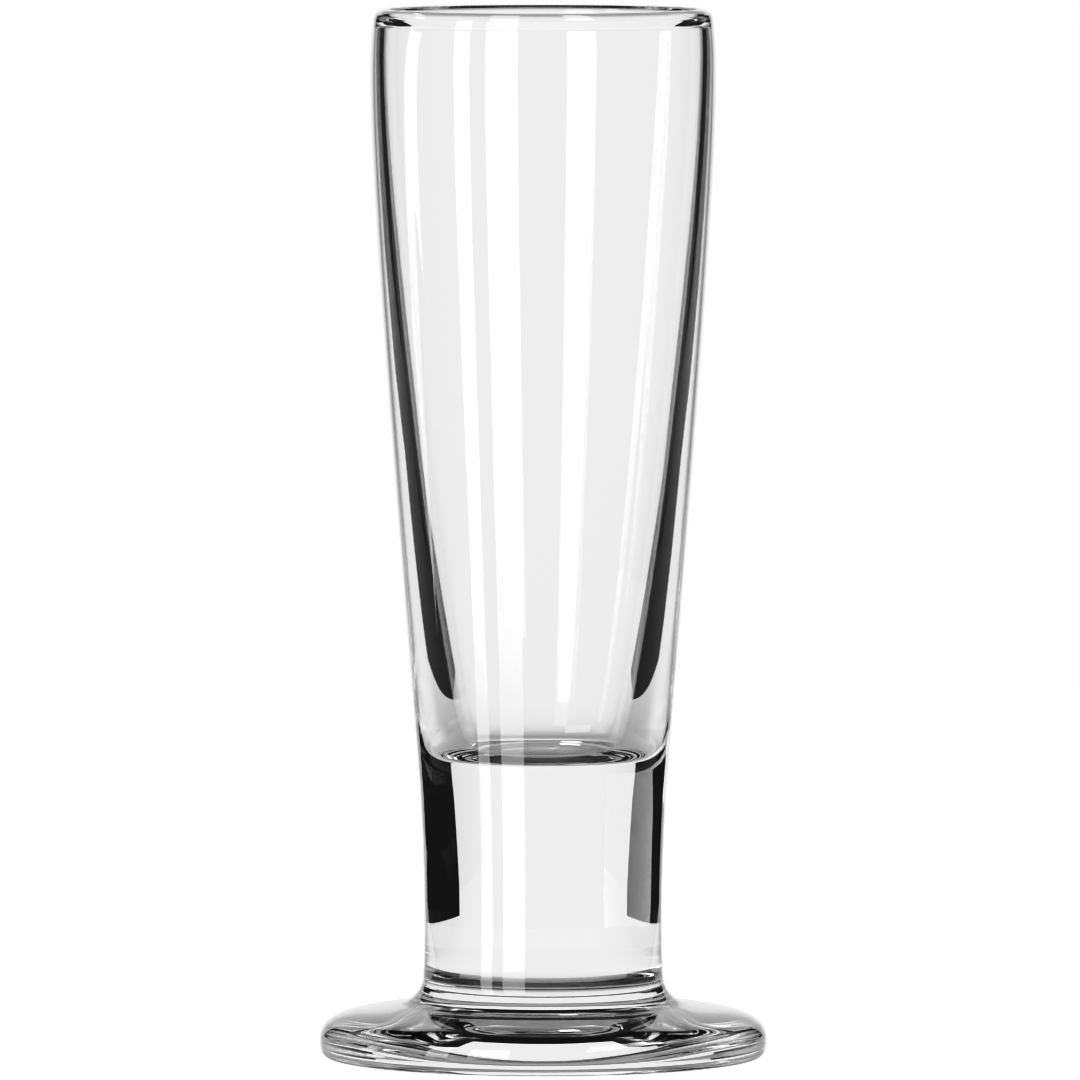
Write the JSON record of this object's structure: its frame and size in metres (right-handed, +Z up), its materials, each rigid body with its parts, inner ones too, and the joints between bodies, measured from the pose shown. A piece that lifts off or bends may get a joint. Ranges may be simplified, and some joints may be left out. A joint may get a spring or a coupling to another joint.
{
  "type": "liqueur glass",
  "caption": "Tall clear liqueur glass: a deep tapering bowl with a polished beaded lip, a short solid waisted stem and a thick round foot with a hollowed underside.",
  "frame": {"origin": "on the glass's axis, in the plane that the foot stands on", "axes": "+Z up along the axis of revolution, towards the rim; X and Y are free, because the glass is round"},
  "size_m": [0.0542, 0.0542, 0.127],
  "materials": {
    "clear_glass": "clear, smooth, fire-polished"
  },
  "bodies": {
    "root": {"bowl": "clear_glass", "stem": "clear_glass", "foot": "clear_glass"}
  },
  "joints": []
}
